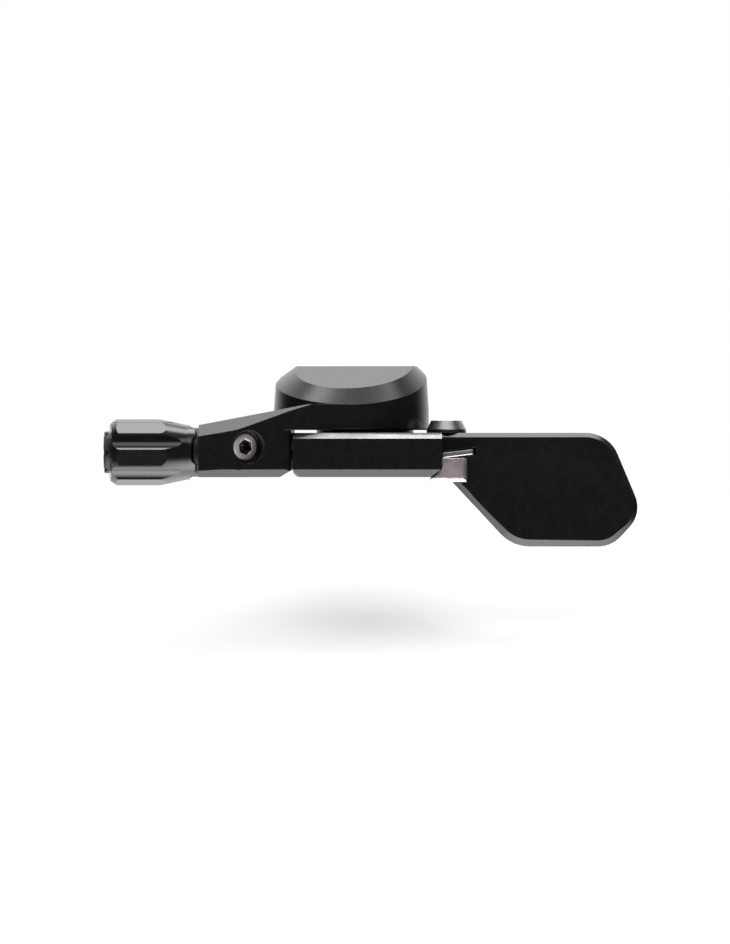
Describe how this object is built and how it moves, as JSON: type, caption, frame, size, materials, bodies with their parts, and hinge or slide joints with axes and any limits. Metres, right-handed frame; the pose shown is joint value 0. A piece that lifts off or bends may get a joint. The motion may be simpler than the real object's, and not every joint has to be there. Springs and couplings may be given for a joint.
{
  "type": "dropper post remote lever",
  "caption": "Under-bar remote lever for a dropper seat post, with a bearing pivot, a thumb paddle, a cable clamp and a fluted cable adjuster.",
  "frame": {"origin": "centre of the threaded bar clamp hole, on the pivot housing's flat top", "axes": "+Z along the bar clamp hole, up to the handlebar; +X along the lever to the paddle's tip; -Y towards the rider"},
  "size_m": [0.0963, 0.034, 0.0326],
  "materials": {
    "anodised": "satin black anodised",
    "black_steel": "black oxide",
    "stainless": "tumbled stainless",
    "bearing_steel": "ground",
    "brass": "turned",
    "nylon": "moulded",
    "rubber": "matte"
  },
  "bodies": {
    "body": {"main_body": "anodised", "bearing_outer_ring": "bearing_steel", "bearing_seals": "rubber", "retaining_ring": "black_steel", "rest_bumper": "rubber", "lock_screw": "stainless", "detent_collar": "nylon", "stem_o_ring": "rubber"},
    "cage": {"bearing_cage": "nylon", "bearing_balls": "bearing_steel"},
    "lever": {"lever": "anodised", "pivot_axle": "bearing_steel", "bearing_inner_ring": "bearing_steel", "dust_shield": "anodised", "pivot_bolt": "black_steel", "clamp_bolt": "black_steel", "clamp_washer": "black_steel", "clamp_plate": "stainless", "clamp_leaf": "stainless"},
    "seat": {"housing_seat": "nylon"},
    "adjuster": {"adjuster_stem": "brass", "adjuster_knob": "anodised"}
  },
  "joints": [
    {"name": "lever_pivot", "type": "hinge", "parent": "body", "child": "lever", "pos_m": [0.00247, -0.0055, -0.0076], "axis": [0, 0, 1], "range_deg": [0, 28]},
    {"name": "bearing_cage_turn", "type": "hinge", "parent": "body", "child": "cage", "pos_m": [0.00247, -0.0055, -0.0076], "axis": [0, 0, 1], "range_deg": [0, 12]},
    {"name": "adjuster_travel", "type": "slide", "parent": "body", "child": "seat", "axis": [-0.9962, -0.0872, 0], "range_m": [0, 0.005]},
    {"name": "adjuster_turn", "type": "hinge", "parent": "seat", "child": "adjuster", "pos_m": [-0.0274, -0.01834, -0.0156], "axis": [-0.9962, -0.0872, 0], "range_deg": [0, 2251]}
  ],
  "couplings": [
    {"joint": "bearing_cage_turn", "follows": "lever_pivot", "ratio": 0.42},
    {"joint": "adjuster_turn", "follows": "adjuster_travel", "rad_per_m": 7854}
  ]
}
